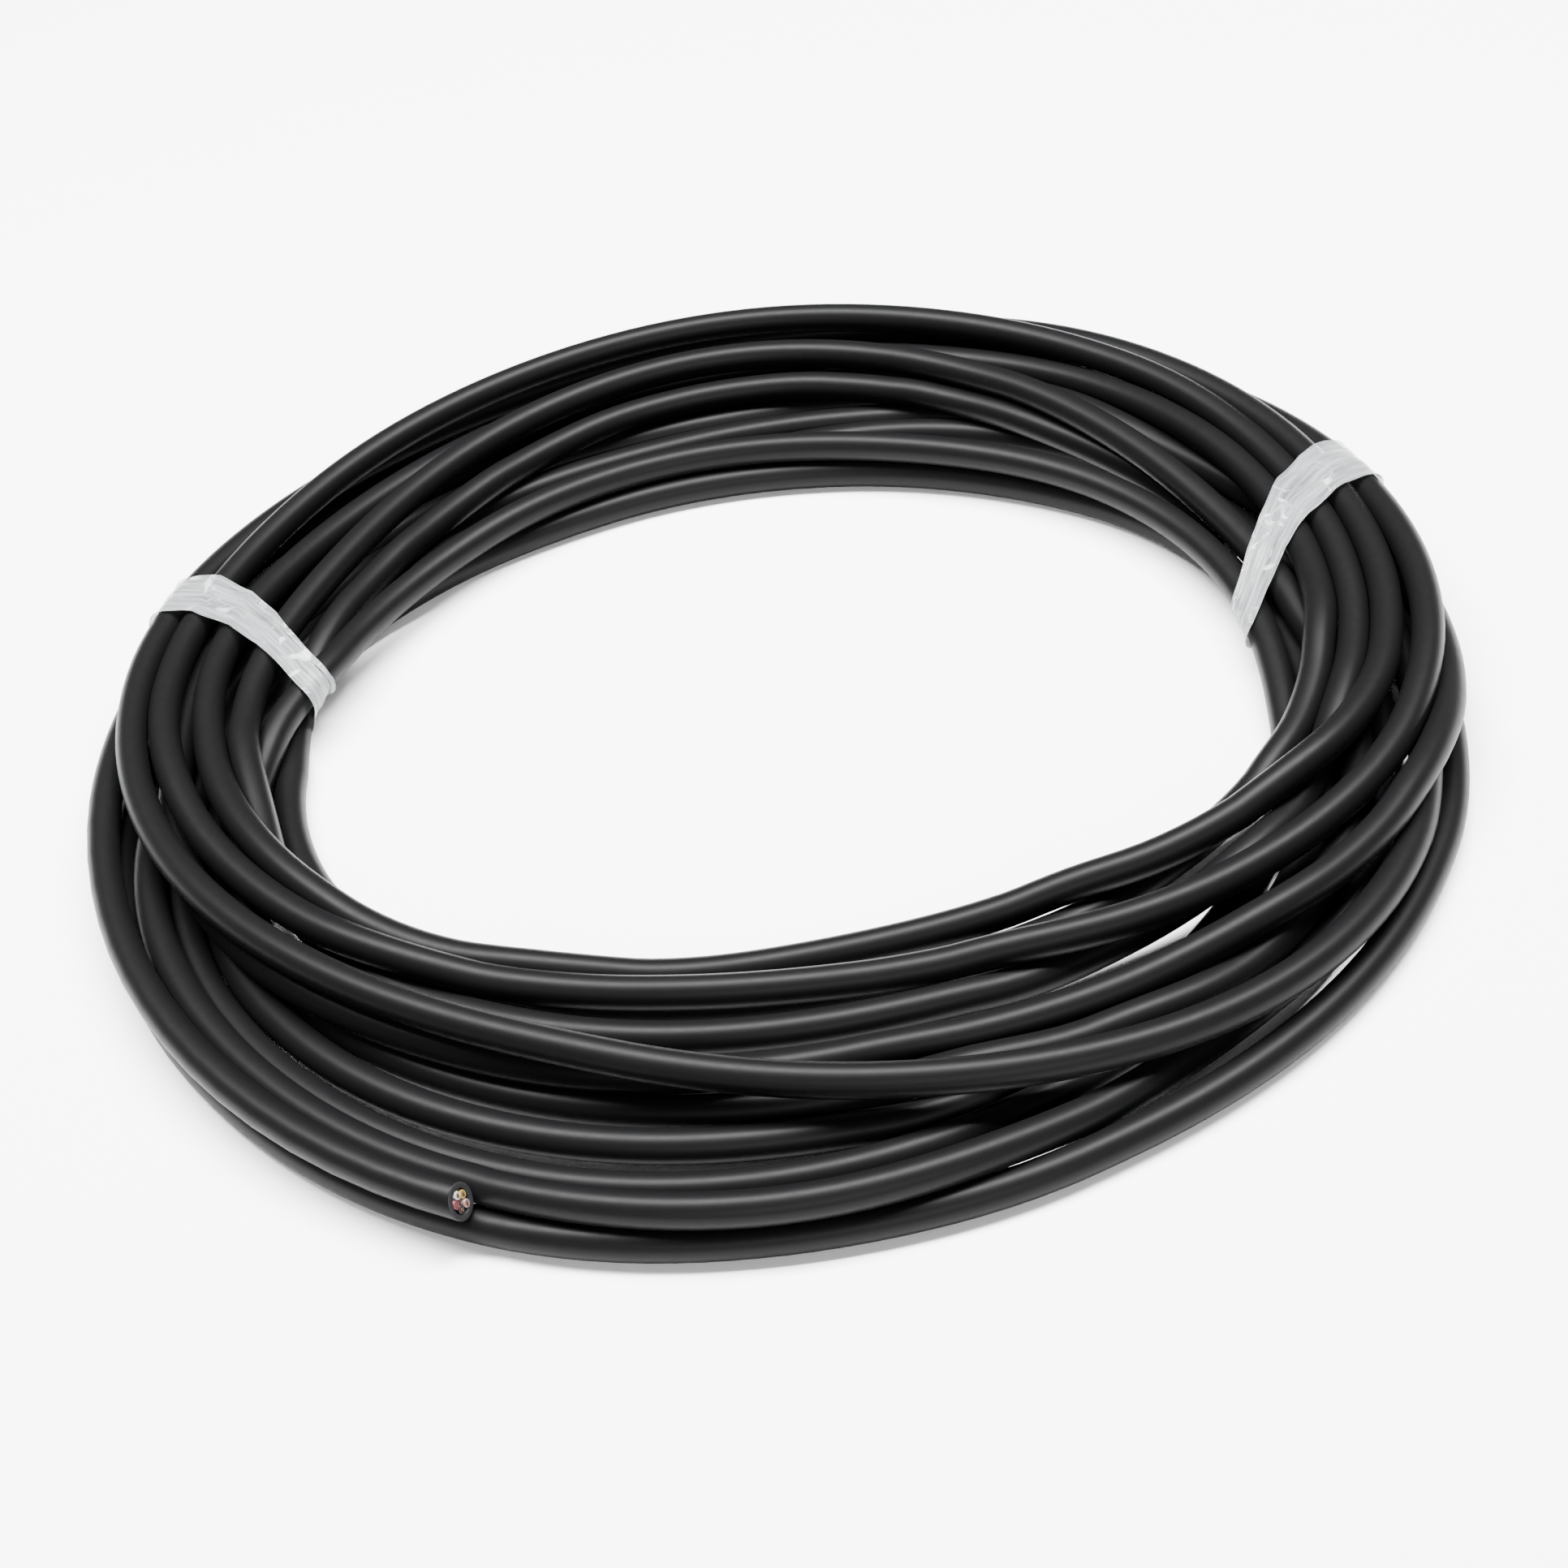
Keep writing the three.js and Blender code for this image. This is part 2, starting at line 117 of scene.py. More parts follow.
BACK = {
    "B1": [(20, 60.8, 2), (30, 58, 2), (40, 54.6, 2), (50, 52.3, 2), (60, 51, 2), (70, 49.8, 2),
           (80, 49.3, 2), (90, 49, 2), (100, 49.3, 2), (110, 50.1, 2), (120, 51.7, 2), (130, 54, 2),
           (142, 59.5, 2, 0), (156, 62.5, 2, 0)],
    "V3": [(20, 61.2, 5.4), (30, 61, 5.4), (42, 59.7, 5.4), (50, 58, 5.4), (60, 56.5, 5.4), (70, 55.6, 5.4),
           (80, 55.8, 5.4), (90, 56.7, 5.4), (100, 57.1, 5.4), (110, 57.3, 5.4), (120, 57, 5.4),
           (130, 56.8, 5.4), (140, 56.7, 5.4), (150, 57.4, 5.4), (156, 58.2, 5.4)],
    "W1": [(20, 70, 2, 0), (35, 69, 2, 0), (50, 68, 2, 0), (58, 63.6, 2), (66, 61, 2), (75, 58.1, 2),
           (84, 54.5, 2), (92, 53.3, 2), (100, 52.9, 2), (110, 53.3, 2), (120, 54.1, 2), (130, 58.5, 2, 0),
           (145, 64, 2, 0), (156, 66.6, 2, 0)],
    "W2": [(20, 81.5, 2.4, 0), (45, 76, 2, 0), (60, 71, 2, 0), (80, 61.8, 2), (93, 59.3, 2), (110, 64, 2, 0),
           (135, 66, 2, 0), (156, 70.7, 2, 0)],
    "W3": [(20, 79, 5.5, 0), (45, 80, 2, 0), (60, 77, 2, 0), (82, 63.2, 2), (100, 64, 2), (120, 70, 2, 0),
           (140, 73, 2, 0), (156, 77, 2, 0)],
    "U3": [(20, 66.6, 4, 0), (32, 66, 5, 0), (44, 66, 5), (50, 66.6, 5.5), (60, 68.7, 5.5), (70, 70.9, 5.5),
           (80, 72.5, 5.5), (90, 73.2, 5.5), (100, 72.2, 5.5), (110, 69.1, 5.5), (120, 66.3, 5.5),
           (130, 64, 5.5), (140, 62.5, 5.5), (148, 62, 5.5), (156, 62.8, 5.5, 0)],
    "U2": [(20, 65.2, 7), (27, 66.7, 8), (40, 69.1, 9), (50, 72.2, 9), (60, 75.1, 9), (70, 78.7, 9),
           (80, 81.8, 9), (90, 82.8, 9), (100, 81.2, 9), (110, 78.5, 9), (120, 75.4, 9), (130, 72, 9),
           (140, 68.8, 9), (149, 66.8, 9), (156, 67.6, 9, 0)],
    "Q": [(20, 73, 5.5, 0), (27, 70.5, 5.5), (40, 72, 5.5), (50, 74, 5.5), (57, 76, 5.5),
          (80, 76.5, 2.8, 0), (105, 75.3, 2.4, 0), (130, 74.5, 3, 0), (156, 74, 5.5, 0)],
    "e3": [(20, 74.5, 9), (27, 75.7, 9), (40, 78.3, 8), (50, 79, 7), (60, 79.5, 6), (75, 79, 5.5, 0),
           (90, 79, 5.5, 0), (108, 77.5, 5.8, 0), (122, 76.2, 6.2), (130, 76, 6.5), (140, 75, 7),
           (146, 74.2, 8), (156, 77.6, 9)],
    "U1": [(20, 78.8, 9), (27, 80.8, 9), (40, 84.3, 9.5), (50, 86.4, 10), (60, 87.7, 10), (70, 89, 10),
           (80, 90.6, 10.3), (90, 91.5, 10.5), (100, 90.5, 10.3), (110, 88.9, 10), (120, 87.4, 10),
           (130, 85.8, 9.5), (140, 83, 9), (147, 81.3, 9), (156, 82.6, 9)],
    "e1": [(20, 82.2, 9), (27, 83.6, 9), (34, 85, 9), (42, 86.6, 9), (50, 87.6, 9), (58, 88.7, 8.7),
           (66, 85.5, 7.4, 0), (78, 84.3, 6.4, 0), (92, 84, 6.2, 0), (108, 83.5, 6.2, 0),
           (122, 83.3, 6.3, 0), (134, 84.5, 7.6), (142, 84.6, 8), (148, 84.8, 8.5), (156, 86, 9.5)],
    "e0": [(20, 85.2, 9), (27, 85.6, 8), (34, 85.9, 7.5), (40, 86, 7), (52, 84, 5.8, 0), (62, 84, 4.6, 0),
           (76, 83.5, 2.4, 0), (105, 82.5, 2.2, 0), (130, 82.6, 2.6, 0), (156, 82.2, 5.8, 0)],
}
# The one cable, walked from the free end: a back pass, then a front pass, and so on to the hidden inner end
PASSES = ["e0", "S2", "U1", "S3", "U2", "K2", "V3", "K3", "B1", "K4", "W1", "K5", "W2", "S10", "W3", "S4", "Q",
          "X", "e1", "S1", "e3", "H1", "U3"]

# How the passes settle: rounds, the last of which pull weakly, and how hard each wish pulls in a round
WISH_SMOOTHINGS = 20
RUN_SMOOTHINGS = 80
SETTLE_ROUNDS = 700
WEAK_ROUNDS = 80
WEAK_SHARE = 0.3
SEEN_PULL = 0.45
HIDDEN_PULL = 0.03
HEIGHT_PULL = 0.24
SINKING = 0.006
BEND_SMOOTHINGS = 8
PUSHES = 2
CLEARANCE = 0.03

# The cut end, mm
CABLE_SIDES = 20
CORE = 0.9
CONDUCTOR_HOLE = 0.225
CORE_RING = 0.817
POCKET = 1.36
POCKET_DEPTH = 2.2
CORE_DEPTH = 3.2
CUT_AHEAD = 0.4
CUT_LEAN = (0.05, 0.35)
# Radius of each ring of the sheath's cut, and how far it stands out from the cut
CUT_RINGS = ((2.0, -0.16), (1.97, -0.06), (1.9, -0.01), (1.8, 0.0), (POCKET + 0.08, 0.02), (POCKET, -0.03))
CORE_RINGS = ((0.45, -0.07), (0.43, -0.02), (0.39, 0.0), (0.23, 0.0), (CONDUCTOR_HOLE, -0.05))
CORE_PROUD = (0.05, -0.04, 0.08, -0.02, 0.03)
STRAND = 0.072
STRAND_RING = 0.145
STRAND_SIDES = 10
CORE_COLOURS = {
    "white": (0.3, 0.29, 0.27), "yellow": (0.2, 0.14, 0.03), "pink": (0.17, 0.1, 0.1),
    "black": (0.006, 0.006, 0.006), "red": (0.1, 0.015, 0.025),
}
JACKET_COLOUR = (0.0028, 0.0028, 0.003)
CUT_COLOUR = (0.014, 0.014, 0.015)
COPPER = (0.1, 0.05, 0.03)

# The ties: the line that each band's middle follows, as (radius, angle) from inside to outside
TIE_LINES = {
    "tie_left": [(57, 165.5), (60, 163.4), (63, 161), (67, 158.2), (72, 155.8), (78, 154.6), (84, 155.2),
                 (88, 156)],
    "tie_right": [(58, 1.5), (61, 4.5), (64, 8), (68, 12), (73, 15.4), (78, 17.6), (83, 18.6), (88, 18.8)],
}
# Degrees that each band spans, and its seed
TIE_SPANS = {"tie_left": (5.6, 3), "tie_right": (6.6, 8)}
BAND_COLUMNS = 25
BAND_ROUNDS = 300
BAND_WAVES = 14
BAND_SMOOTHINGS = 12
FILM_MM = 0.08


def add_camera():
    back = Vector(CAM_BACK)
    right = Vector((1.0, 0.0, 0.0))
    up = back.cross(right)
    turned_right = right * math.cos(CAM_ROLL) + up * math.sin(CAM_ROLL)
    turned_up = up * math.cos(CAM_ROLL) - right * math.sin(CAM_ROLL)
    data = bpy.data.cameras.new("camera")
    data.sensor_width = SENSOR_MM
    data.sensor_fit = "HORIZONTAL"
    data.lens = LENS_MM
    data.clip_start = 0.01
    cam = bpy.data.objects.new("camera", data)
    bpy.context.collection.objects.link(cam)
    turn = Matrix((turned_right, turned_up, back)).transposed().to_4x4()
    cam.matrix_world = Matrix.Translation(CAM_TARGET + back * CAM_DISTANCE) @ turn
    bpy.context.scene.camera = cam


def along_sight(points, height):
    """The points moved along their lines of sight to another height, mm."""
    eye = np.array(CAM_TARGET) * 1000.0 + np.array(CAM_BACK) * CAM_DISTANCE * 1000.0
    share = (height - eye[2]) / (points[:, 2] - eye[2])
    return eye + (points - eye) * np.asarray(share)[:, None]


def polar_points(angles, radii, heights):
    t = np.radians(angles)
    return np.stack([radii * np.cos(t), radii * np.sin(t), heights], axis=1)


def to_polar(points, near):
    """Angle (unwrapped beside near) and radius of points."""
    angle = np.degrees(np.arctan2(points[:, 1], points[:, 0]))
    return near + (angle - near + 180) % 360 - 180, np.hypot(points[:, 0], points[:, 1])


def eased(rows):
    """Each row moved halfway to the middle of its neighbours. The first and last stay."""
    result = rows.copy()
    result[1:-1] = 0.5 * rows[1:-1] + 0.25 * (rows[:-2] + rows[2:])
    return result


def all_knots():
    """Unwrapped angle, radius, height and whether it is seen, for every knot of the chain of passes."""
    knots = [(a, COIL_EDGE - inset, height, 0) for a, inset, height in FREE_END_ROUTE[::-1]]
    knots.append(UNDER_FIRST_TIE)
    turned = 0
    for name in PASSES:
        is_back = name in BACK
        shift = -360 * turned - (0 if is_back else 360)
        rows = (BACK if is_back else FRONT)[name][::-1]
        rows = [(k[0] + shift, k[1], k[2], 0 if len(k) > 3 else 1) for k in rows]
        knots += [k for k in rows if k[0] < knots[-1][0] - 0.5]
        turned += 0 if is_back else 1
    return np.array(knots, float)


def wanted_lay():
    """At each station along the cable: its unwrapped angle, the radius and height that it would like, whether
    it is free to move and how far it is seen. Then, degree by degree, how the seen radius runs."""
    knots = all_knots()
    seen = knots[:, 3] > 0
    own = knots[:, :3].copy()
    plane = polar_points(knots[seen, 0], knots[seen, 1], np.full(seen.sum(), SEEN_PLANE))
    own[seen, 0], own[seen, 1] = to_polar(along_sight(plane, knots[seen, 2]), knots[seen, 0])
    hidden = polar_points(knots[~seen, 0], knots[~seen, 1], knots[~seen, 2])
    in_plane = along_sight(hidden, np.full((~seen).sum(), SEEN_PLANE))
    sight = knots[:, :2].copy()
    sight[~seen, 0], sight[~seen, 1] = to_polar(in_plane, knots[~seen, 0])
    stations = np.arange(START, knots[-1, 0] - 0.1, -STEP)
    place = np.stack([np.interp(-stations, -own[:, 0], own[:, k]) for k in (1, 2)], axis=1)
    trust = np.interp(-stations, -own[:, 0], knots[:, 3])
    free = stations < FREE_ENDS_AT
    for _ in range(WISH_SMOOTHINGS):
        place = np.where(free[:, None], eased(place), place)
    fine = np.arange(START, knots[-1, 0] - 0.1, -1.0)
    run = np.interp(-fine, -sight[:, 0], sight[:, 1])
    for _ in range(RUN_SMOOTHINGS):
        run = eased(run)
    return stations, place, free, trust, fine, run


def push_apart(place, free):
    """Moves passes that share a station, and lie too close, to one diameter from each other."""
    around = 360 // STEP
    apart = CABLE + CLEARANCE
    slope = np.gradient(place[:, 0]) / (place[:, 0] * math.radians(STEP))
    for gap in range(around, len(place), around):
        lean = 1.0 / np.sqrt(1.0 + (0.5 * (slope[:-gap] + slope[gap:])) ** 2)
        d = place[:-gap] - place[gap:]
        d[:, 0] *= lean
        distance = np.maximum(np.hypot(d[:, 0], d[:, 1]), 1e-6)
        d *= (np.maximum(apart - distance, 0.0) / distance)[:, None]
        d[:, 0] /= lean
        first = free[:-gap].astype(float)
        second = free[gap:].astype(float)
        share = np.maximum(first + second, 1.0)
        place[:-gap] += d * (first / share)[:, None]
        place[gap:] -= d * (second / share)[:, None]
    place[:, 1] = np.maximum(place[:, 1], CABLE / 2)


def settle(stations, wanted, free, trust, fine, run):
    """Lets the passes find places a diameter apart, on the floor or on each other, where they are seen to lie
    and with easy bends."""
    place = wanted.copy()
    for turn in range(SETTLE_ROUNDS):
        firm = 1.0 if turn < SETTLE_ROUNDS - WEAK_ROUNDS else WEAK_SHARE
        points = polar_points(stations, place[:, 0], place[:, 1])
        angle, radius = to_polar(along_sight(points, np.full(len(points), SEEN_PLANE)), stations)
        miss = np.interp(-angle, -fine, run) - radius
        own_pull = HIDDEN_PULL * (1 - trust) * (wanted[:, 0] - place[:, 0])
        move = np.stack([firm * (SEEN_PULL * trust * miss + own_pull),
                         firm * HEIGHT_PULL * (wanted[:, 1] - place[:, 1]) - SINKING], axis=1)
        place = np.where(free[:, None], place + move, place)
        for _ in range(BEND_SMOOTHINGS):
            place = np.where(free[:, None], eased(place), place)
        for _ in range(PUSHES):
            push_apart(place, free)
    return place


def cable_path():
    """The cable's centre line in mm, from the cut to the hidden inner end."""
    stations, wanted, free, trust, fine, run = wanted_lay()
    place = settle(stations, wanted, free, trust, fine, run)
    route = np.array(FREE_END_ROUTE[::-1])
    visible_end = polar_points(route[:, 0], COIL_EDGE - route[:, 1], route[:, 2])
    return np.vstack([visible_end, polar_points(stations[free], place[free, 0], place[free, 1])])


def new_object(name, vertices, faces):
    mesh = bpy.data.meshes.new(name)
    mesh.from_pydata([tuple(v) for v in vertices], [], faces)
    mesh.update()
    mesh.polygons.foreach_set("use_smooth", [True] * len(mesh.polygons))
    obj = bpy.data.objects.new(name, mesh)
    bpy.context.collection.objects.link(obj)
    return obj


def frames_along(points):
    """Two cross directions at each point, carried along without twist."""
    tangent = np.gradient(points, axis=0)
    tangent /= np.linalg.norm(tangent, axis=1)[:, None]
    side = np.zeros_like(tangent)
    first = np.cross(tangent[0], (0, 0, 1))
    side[0] = first / np.linalg.norm(first)
    for k in range(1, len(points)):
        s = side[k - 1] - tangent[k] * (side[k - 1] @ tangent[k])
        side[k] = s / np.linalg.norm(s)
    return side, np.cross(tangent, side)


def new_material(name):
    m = bpy.data.materials.new(name)
    m.use_nodes = True
    nodes = m.node_tree.nodes
    return m, nodes, m.node_tree.links, nodes["Principled BSDF"]


def add_node(nodes, kind, values):
    node = nodes.new(kind)
    for name, value in values.items():
        node.inputs[name].default_value = value
    return node


def object_noise(nodes, links, values):
    """Noise laid out in the object's own space."""
    coords = nodes.new("ShaderNodeTexCoord")
    noise = add_node(nodes, "ShaderNodeTexNoise", values)
    links.new(coords.outputs["Object"], noise.inputs["Vector"])
    return noise


def add_tint(nodes, links, shader, source, low, high):
    """Mixes two base colours by an output between 0 and 1."""
    tint = nodes.new("ShaderNodeMix")
    tint.data_type = "RGBA"
    tint.inputs["A"].default_value = (*low, 1)
    tint.inputs["B"].default_value = (*high, 1)
    links.new(source, tint.inputs["Factor"])
    links.new(tint.outputs["Result"], shader.inputs["Base Color"])


def jacket_material(name, colour):
    """Dull black sheath, a little uneven in its shine."""
    m, nodes, links, shader = new_material(name)
    grain = object_noise(nodes, links, {"Scale": 900, "Detail": 4})
    rough = add_node(nodes, "ShaderNodeMapRange", {"To Min": 0.36, "To Max": 0.46})
    links.new(grain.outputs["Fac"], rough.inputs["Value"])
    links.new(rough.outputs["Result"], shader.inputs["Roughness"])
    shader.inputs["Base Color"].default_value = (*colour, 1)
    shader.inputs["Specular IOR Level"].default_value = 0.07
    return m


def plain_material(name, colour, metallic=0.0):
    m, nodes, links, shader = new_material(name)
    grain = object_noise(nodes, links, {"Scale": 2500})
    low = [c * 0.8 for c in colour]
    high = [min(1.0, c * 1.15) for c in colour]
    add_tint(nodes, links, shader, grain.outputs["Fac"], low, high)
    shader.inputs["Roughness"].default_value = 0.45
    shader.inputs["Metallic"].default_value = metallic
    return m


def tape_material():
    """Clear film wound in layers: milky, drawn out in streaks along its length, with crushed white creases."""
    m, nodes, links, shader = new_material("tape_clear")
    uv = nodes.new("ShaderNodeUVMap")
    uv.uv_map = "lengthwise"
    stretch = add_node(nodes, "ShaderNodeMapping", {"Scale": (7, 11, 1)})
    links.new(uv.outputs["UV"], stretch.inputs["Vector"])
    streak = add_node(nodes, "ShaderNodeTexNoise", {"Scale": 1.0, "Detail": 5, "Roughness": 0.65})
    links.new(stretch.outputs["Vector"], streak.inputs["Vector"])
    crush = object_noise(nodes, links, {"Scale": 260, "Detail": 3, "Distortion": 1.5})
    crease = add_node(nodes, "ShaderNodeMapRange", {"From Min": 0.52, "From Max": 0.66})
    links.new(crush.outputs["Fac"], crease.inputs["Value"])
    milky = {"From Min": 0.3, "From Max": 0.7, "To Min": 0.25, "To Max": 0.8}
    film = add_node(nodes, "ShaderNodeMapRange", milky)
    links.new(streak.outputs["Fac"], film.inputs["Value"])
    both = nodes.new("ShaderNodeMath")
    both.operation = "MAXIMUM"
    links.new(film.outputs["Result"], both.inputs[0])
    links.new(crease.outputs["Result"], both.inputs[1])
    links.new(both.outputs[0], shader.inputs["Alpha"])
    add_tint(nodes, links, shader, both.outputs[0], (0.1, 0.104, 0.108), (0.36, 0.37, 0.38))
    bump = add_node(nodes, "ShaderNodeBump", {"Strength": 0.8, "Distance": 0.0002})
    links.new(streak.outputs["Fac"], bump.inputs["Height"])
    links.new(bump.outputs["Normal"], shader.inputs["Normal"])
    shader.inputs["Roughness"].default_value = 0.28
    return m


def circle(centre, right, up, radius, sides):
    turn = np.linspace(0, 2 * math.pi, sides, endpoint=False)
    return centre + radius * (np.cos(turn)[:, None] * right + np.sin(turn)[:, None] * up)


def ring_faces(base, rings, sides, close_last):
    """Faces through rings of equal count whose vertices start at base."""
    faces = []
    for k in range(rings - 1):
        row = base + k * sides
        for j in range(sides):
            n = (j + 1) % sides
            faces.append((row + j, row + n, row + sides + n, row + sides + j))
    if close_last:
        faces.append(tuple(base + (rings - 1) * sides + j for j in range(sides)))
    return faces


def loft(name, rings, close_last=True):
    """A surface through rings of equal count, in mm."""
    vertices = [tuple(v * MM) for ring in rings for v in ring]
    return new_object(name, vertices, ring_faces(0, len(rings), len(rings[0]), close_last))


def cut_frame(points):
    """Direction out of the cut, its rightward and upward directions, the normal of the slanting cut and its
    middle."""
    out = points[0] - points[1]
    out /= np.linalg.norm(out)
    right = np.cross((0, 0, 1), out)
    right /= np.linalg.norm(right)
    up = np.cross(out, right)
    slant = out + CUT_LEAN[0] * right + CUT_LEAN[1] * up
    return out, right, up, slant / np.linalg.norm(slant), points[0] + CUT_AHEAD * out


def on_cut(points, centre, out, slant, proud):
    """The points slid along the cable until they lie on the slanting cut."""
    return points - np.outer((points - centre) @ slant / (out @ slant) - proud, out)


def make_cable(points):
    """The sheath, hollow behind its cut, with the cut's own material on the last rings."""
    out, _, _, slant, middle = cut_frame(points)
    side, other = frames_along(points)
    rings = [circle(points[-1], side[-1], other[-1], 0.02, CABLE_SIDES)]
    for k in range(len(points) - 1, 0, -1):
        rings.append(circle(points[k], side[k], other[k], CABLE / 2, CABLE_SIDES))
    for radius, proud in CUT_RINGS:
        rings.append(on_cut(circle(middle, side[0], other[0], radius, CABLE_SIDES), middle, out, slant, proud))
    for radius in (POCKET, 0.02):
        rings.append(circle(middle - POCKET_DEPTH * out, side[0], other[0], radius, CABLE_SIDES))
    cable = loft("cable", rings)
    for face in range((len(rings) - 7) * CABLE_SIDES, len(cable.data.polygons)):
        cable.data.polygons[face].material_index = 1
    return cable


def make_core(number, colour, points):
    """An insulated core and its seven strands, cut off with the sheath."""
    out, right, up, slant, cut_middle = cut_frame(points)
    a = math.radians(72 * number)
    middle = cut_middle + CORE_RING * (math.sin(a) * right + math.cos(a) * up)
    proud = CORE_PROUD[number]
    rings = [circle(middle - CORE_DEPTH * out, right, up, CORE / 2, CABLE_SIDES)]
    for radius, more in CORE_RINGS:
        ring = circle(middle, right, up, radius, CABLE_SIDES)
        rings.append(on_cut(ring, cut_middle, out, slant, proud + more))
    rings.append(circle(middle - 2.4 * out, right, up, CONDUCTOR_HOLE, CABLE_SIDES))
    core = loft("insulation_" + colour, rings, close_last=False)
    vertices = []
    faces = []
    for k in range(7):
        b = math.radians(60 * k)
        off = 0.0 if k == 6 else STRAND_RING
        strand = middle + off * (math.cos(b) * right + math.sin(b) * up)
        rows = [circle(strand - 2.3 * out, right, up, STRAND, STRAND_SIDES)]
        for radius, more in ((STRAND, 0.02), (0.055, 0.04)):
            row = circle(strand, right, up, radius, STRAND_SIDES)
            rows.append(on_cut(row, cut_middle, out, slant, proud + more + 0.02 * (k % 3)))
        faces += ring_faces(len(vertices), len(rows), STRAND_SIDES, True)
        vertices += [tuple(v * MM) for row in rows for v in row]
    return core, new_object("strands_" + colour, vertices, faces)


def hull(points):
    """Convex hull of 2-D points, anticlockwise."""
    pts = sorted(map(tuple, points))

    def half(seq):
        out = []
        for p in seq:
            while len(out) > 1 and ((out[-1][0] - out[-2][0]) * (p[1] - out[-2][1])
                                    - (out[-1][1] - out[-2][1]) * (p[0] - out[-2][0])) <= 0:
                out.pop()
            out.append(p)
        return out[:-1]

    return np.array(half(pts) + half(pts[::-1]))


def band_section(line, shift):
    """Where the cable crosses a band that follows the line, turned by shift degrees: radius and height."""
    angle, radius = to_polar(path, np.full(len(path), line[0, 1]))
    off = angle - (np.interp(radius, line[:, 0], line[:, 1]) + shift)
    hits = []
    for k in np.nonzero((off[:-1] * off[1:] <= 0) & (np.abs(off[:-1]) < 20))[0]:
        t = off[k] / (off[k] - off[k + 1])
        height = path[k, 2] + t * (path[k + 1, 2] - path[k, 2])
        hits.append((radius[k] + t * (radius[k + 1] - radius[k]), height))
    return hits


def evenly_round(loop, count):
    """A closed loop's points taken again at even distances, from its outermost point."""
    loop = np.vstack([loop, loop[:1]])
    walked = np.concatenate([[0], np.cumsum(np.linalg.norm(np.diff(loop, axis=0), axis=1))])
    first = walked[int(np.argmax(loop[:, 0]))]
    want = (first + np.linspace(0, 1, count, endpoint=False) * walked[-1]) % walked[-1]
    return np.interp(want, walked, loop[:, 0]), np.interp(want, walked, loop[:, 1])


def eased_round(values):
    return 0.5 * values + 0.25 * (np.roll(values, 1) + np.roll(values, -1))


def tie(name, span, seed):
    """A band of film drawn tight round the bundle, span degrees wide, with ripples and turned-up edges."""
    line = np.array(TIE_LINES[name], float)
    rng = np.random.default_rng(seed)
    at = np.linspace(0, 1, BAND_ROUNDS, endpoint=False)
    grid = np.zeros((BAND_COLUMNS, BAND_ROUNDS, 3))
    waves = [(rng.uniform(2, 16), rng.uniform(-1.2, 1.2), rng.uniform(0, 6.28), rng.uniform(0.02, 0.06))
             for _ in range(BAND_WAVES)]
    turn = np.linspace(0, 2 * math.pi, 40, endpoint=False)
    sway = 0.15 * np.sin(2 * math.pi * 3 * at + seed) + 0.1 * np.sin(2 * math.pi * 7 * at + 2 * seed)
    for c, w in enumerate(np.linspace(-0.5, 0.5, BAND_COLUMNS)):
        hits = band_section(line, w * span)
        loop = hull([(h[0] + 2.2 * math.cos(a), h[1] + 2.1 * math.sin(a)) for h in hits for a in turn])
        u, z = evenly_round(loop, BAND_ROUNDS)
        out = np.stack([u - u.mean(), (z - z.mean()) * 2], axis=1)
        out /= np.linalg.norm(out, axis=1)[:, None]
        bump = 0.1 + sum(amp * np.sin(2 * math.pi * (round(f) * at) + 2 * math.pi * g * w * 2 + ph)
                         for f, g, ph, amp in waves)
        bump = np.maximum(bump, 0.0) + 0.25 * abs(2 * w) ** 8
        u = u + out[:, 0] * bump
        z = z + out[:, 1] * bump
        for _ in range(BAND_SMOOTHINGS):
            u = eased_round(u)
            z = eased_round(z)
        angle = np.radians(np.interp(u, line[:, 0], line[:, 1]) + w * span) + sway / u
        grid[c] = np.stack([u * np.cos(angle), u * np.sin(angle), np.maximum(z, 0.08)], axis=1)
    faces = []
    for c in range(BAND_COLUMNS - 1):
        row = c * BAND_ROUNDS
        for k in range(BAND_ROUNDS):
            n = (k + 1) % BAND_ROUNDS
            faces.append((row + k, row + BAND_ROUNDS + k, row + BAND_ROUNDS + n, row + n))
    band = new_object(name + "_tape", list(grid.reshape(-1, 3) * MM), faces)
    uv = band.data.uv_layers.new(name="lengthwise")
    for corner, loop in enumerate(band.data.loops):
        v = loop.vertex_index
        uv.data[corner].uv = ((v % BAND_ROUNDS) / BAND_ROUNDS, (v // BAND_ROUNDS) / (BAND_COLUMNS - 1))
    thick = band.modifiers.new("thickness", "SOLIDIFY")
    thick.thickness = FILM_MM * MM
    thick.offset = 1
    return band


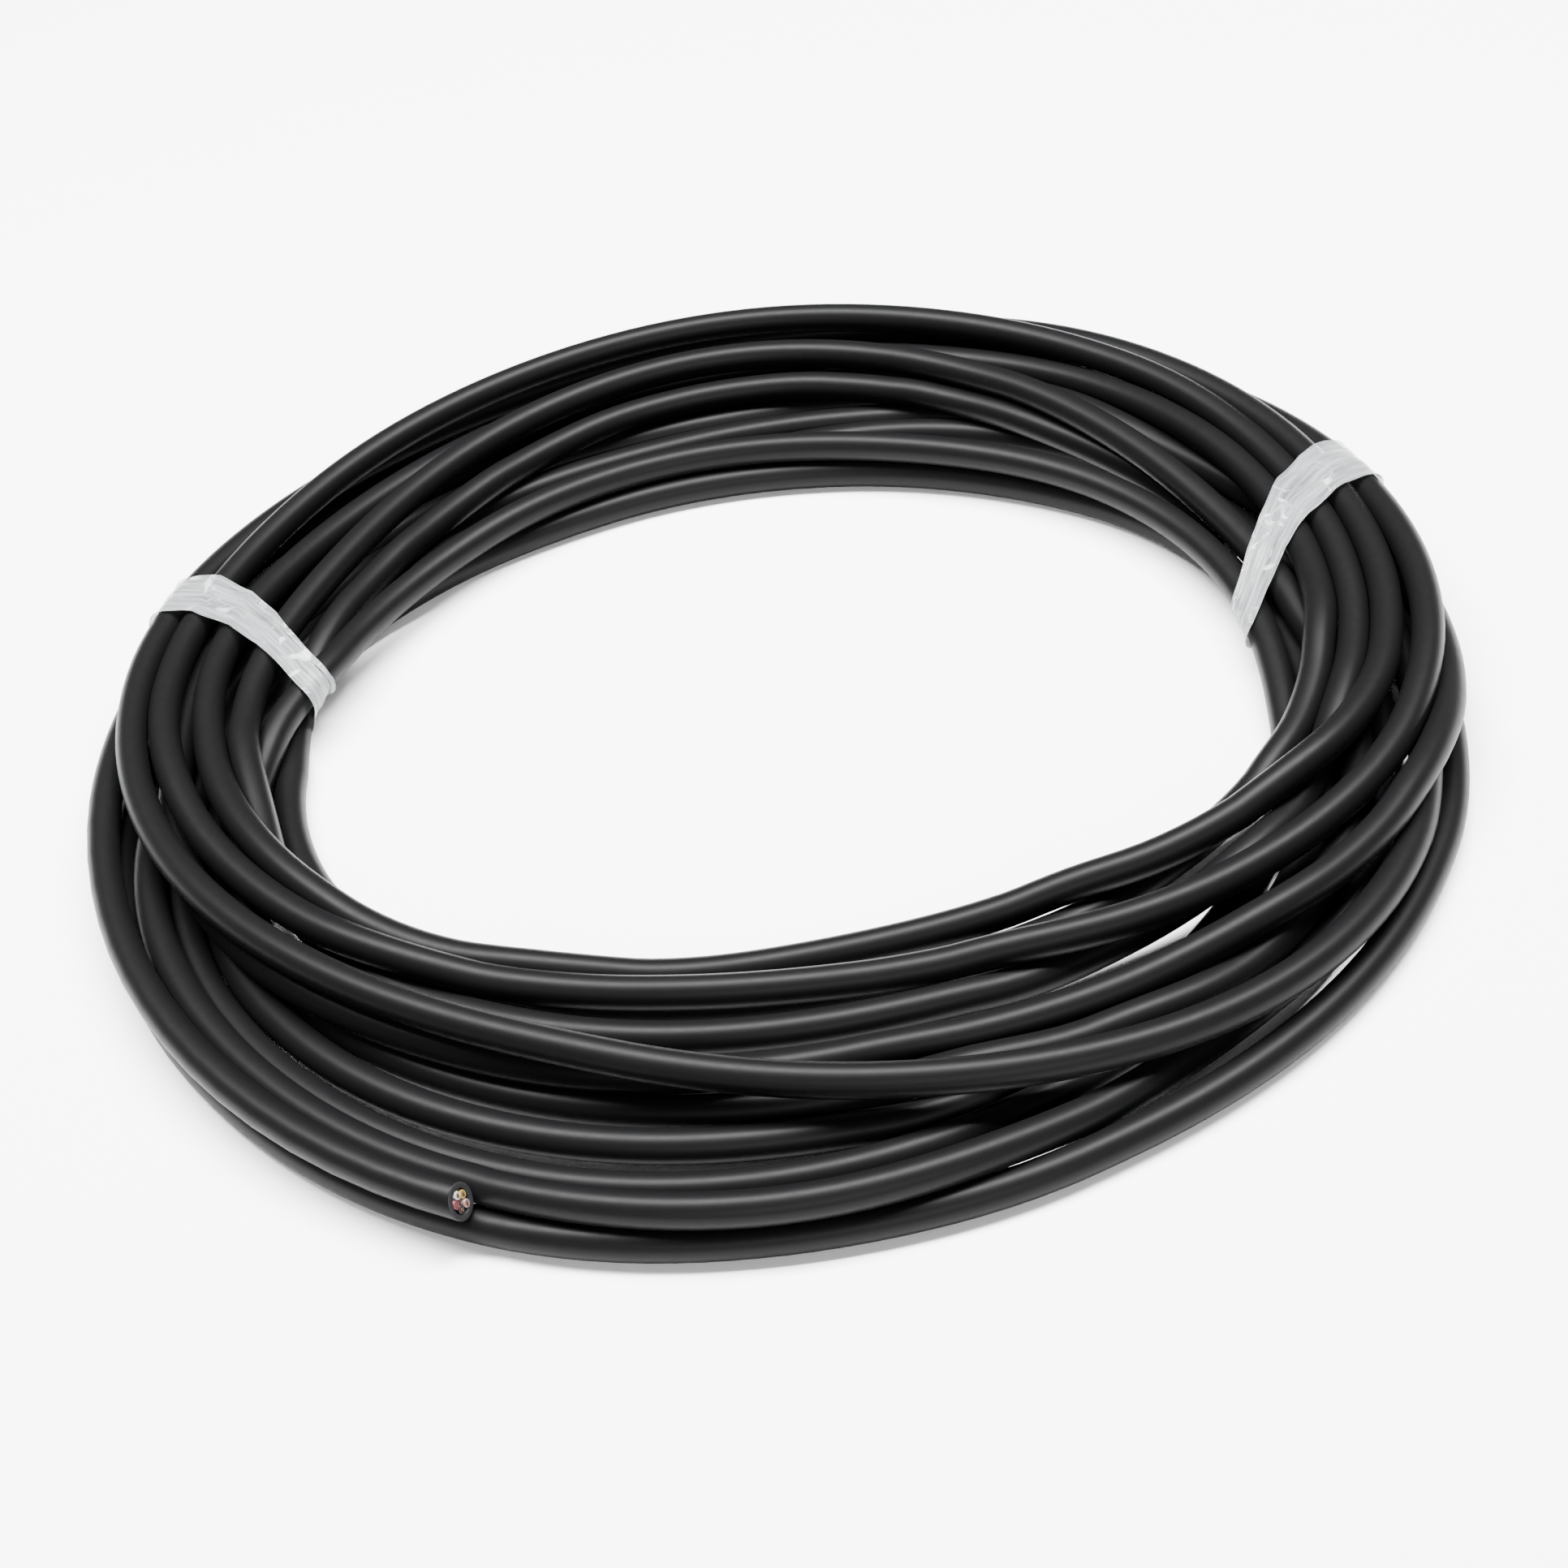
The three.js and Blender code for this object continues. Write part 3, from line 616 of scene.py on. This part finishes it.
def add_floor():
    mesh = bpy.data.meshes.new("floor")
    mesh.from_pydata([(-3, -3, 0), (3, -3, 0), (3, 3, 0), (-3, 3, 0)], [], [(0, 1, 2, 3)])
    floor = bpy.data.objects.new("floor", mesh)
    bpy.context.collection.objects.link(floor)
    m, _, _, shader = new_material("floor_pale")
    shader.inputs["Base Color"].default_value = (0.96, 0.96, 0.96, 1)
    shader.inputs["Roughness"].default_value = 0.9
    mesh.materials.append(m)


def add_light(name, place, size, power):
    """A soft rectangular light that points at the coil."""
    data = bpy.data.lights.new(name, "AREA")
    data.shape = "RECTANGLE"
    data.size, data.size_y = size
    data.energy = power
    lamp = bpy.data.objects.new(name, data)
    bpy.context.collection.objects.link(lamp)
    lamp.location = place
    lamp.rotation_euler = (-Vector(place)).to_track_quat("-Z", "Y").to_euler()


def add_world(strength):
    world = bpy.data.worlds.new("world")
    world.use_nodes = True
    background = world.node_tree.nodes["Background"]
    background.inputs["Color"].default_value = (1, 1, 1, 1)
    background.inputs["Strength"].default_value = strength
    bpy.context.scene.world = world


add_camera()
path = cable_path()
cable = make_cable(path)
cable.data.materials.append(jacket_material("jacket_black", JACKET_COLOUR))
cable.data.materials.append(jacket_material("jacket_cut", CUT_COLOUR))
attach(cable, "root")
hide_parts("cable_coil", "cable_free_end")
cut_pieces = []
copper = plain_material("conductor_copper", COPPER, metallic=0.8)
for number, colour in enumerate(CORE_COLOURS):
    core, strands = make_core(number, colour, path)
    core.data.materials.append(plain_material("insulation_" + colour, CORE_COLOURS[colour]))
    strands.data.materials.append(copper)
    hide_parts("core_" + colour)
    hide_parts("conductor_" + colour)
    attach(core, "root")
    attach(strands, "root")
    cut_pieces += [core, strands]

tape = tape_material()
for name, (span, seed) in TIE_SPANS.items():
    band = tie(name, span, seed)
    band.data.materials.append(tape)
    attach(band, "root")
    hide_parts(name)

add_floor()
add_light("key", (0.0, 0.12, 0.8), (1.1, 0.24), 75)
add_light("front", (0.1, -0.9, 0.5), (0.9, 0.3), 8)
add_world(0.25)
